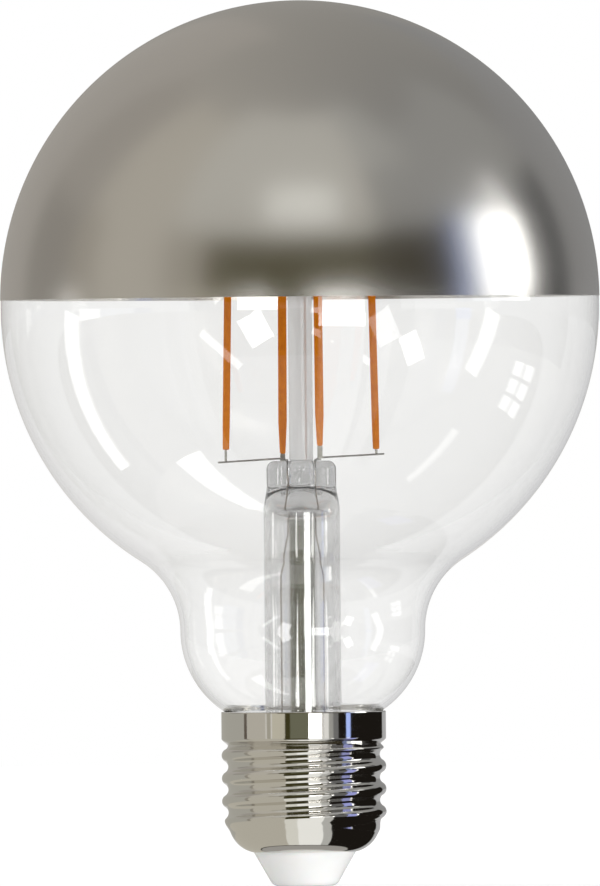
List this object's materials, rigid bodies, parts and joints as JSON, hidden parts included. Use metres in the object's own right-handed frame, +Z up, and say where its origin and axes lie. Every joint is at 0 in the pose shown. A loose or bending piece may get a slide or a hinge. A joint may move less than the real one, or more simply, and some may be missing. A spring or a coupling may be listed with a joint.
{
  "type": "led globe bulb",
  "caption": "Clear glass globe lamp with a mirrored crown, filament strips on a glass stem and a metal screw cap.",
  "frame": {"origin": "centre of the bottom contact's face, which is also the bottom centre of the bounding box", "axes": "+Z up along the lamp's axis from the contact to the crown, -Y towards the camera, +X to its right"},
  "size_m": [0.095, 0.095, 0.1414],
  "materials": {
    "clear_glass": "clear blown glass, polished",
    "stem_glass": "clear pressed glass, grey in its thickness",
    "mirror_silver": "silvered crown, satin metal",
    "cap_nickel": "bright nickel plate on a rolled sheet shell",
    "contact_metal": "plain tinned contact",
    "insulator_white": "white gloss plastic",
    "filament_orange": "orange phosphor in silicone, matt",
    "terminal_metal": "thin plated strip",
    "nickel_wire": "drawn nickel wire",
    "copper_wire": "copper-clad seal wire",
    "cement": "matt basing cement",
    "board_green": "glass-fibre board",
    "chip_black": "moulded case",
    "capacitor_can": "sleeved aluminium can",
    "film_yellow": "dipped box",
    "ferrite": "ferrite drum and varnished winding",
    "resistor_body": "lacquered body",
    "solder": "soft solder",
    "cable_red": "insulated wire",
    "cable_white": "insulated wire"
  },
  "bodies": {
    "root": {"basing_cement": "cement", "bridge_rectifier": "chip_black", "bridge_wire_1": "nickel_wire", "bridge_wire_2": "nickel_wire", "cap_insulator": "insulator_white", "cap_shell": "cap_nickel", "centre_contact": "contact_metal", "centre_rod": "clear_glass", "choke": "ferrite", "driver_board": "board_green", "driver_chip": "chip_black", "exhaust_tube": "stem_glass", "filament_left_inner": "filament_orange", "filament_left_outer": "filament_orange", "filament_right_inner": "filament_orange", "filament_right_outer": "filament_orange", "film_capacitor": "film_yellow", "fusible_resistor": "resistor_body", "glass_envelope": "clear_glass", "glass_stem": "stem_glass", "live_wire": "cable_red", "lower_terminal_left_inner": "terminal_metal", "lower_terminal_left_outer": "terminal_metal", "lower_terminal_right_inner": "terminal_metal", "lower_terminal_right_outer": "terminal_metal", "mirror_coating": "mirror_silver", "neutral_wire": "cable_white", "seal_wire_left": "copper_wire", "seal_wire_right": "copper_wire", "smoothing_capacitor": "capacitor_can", "solder_joint_left": "solder", "solder_joint_right": "solder", "support_wire_left_inner": "nickel_wire", "support_wire_left_outer": "nickel_wire", "support_wire_right_inner": "nickel_wire", "support_wire_right_outer": "nickel_wire", "tail_wire_left": "copper_wire", "tail_wire_right": "copper_wire", "upper_terminal_left_inner": "terminal_metal", "upper_terminal_left_outer": "terminal_metal", "upper_terminal_right_inner": "terminal_metal", "upper_terminal_right_outer": "terminal_metal"}
  },
  "joints": []
}
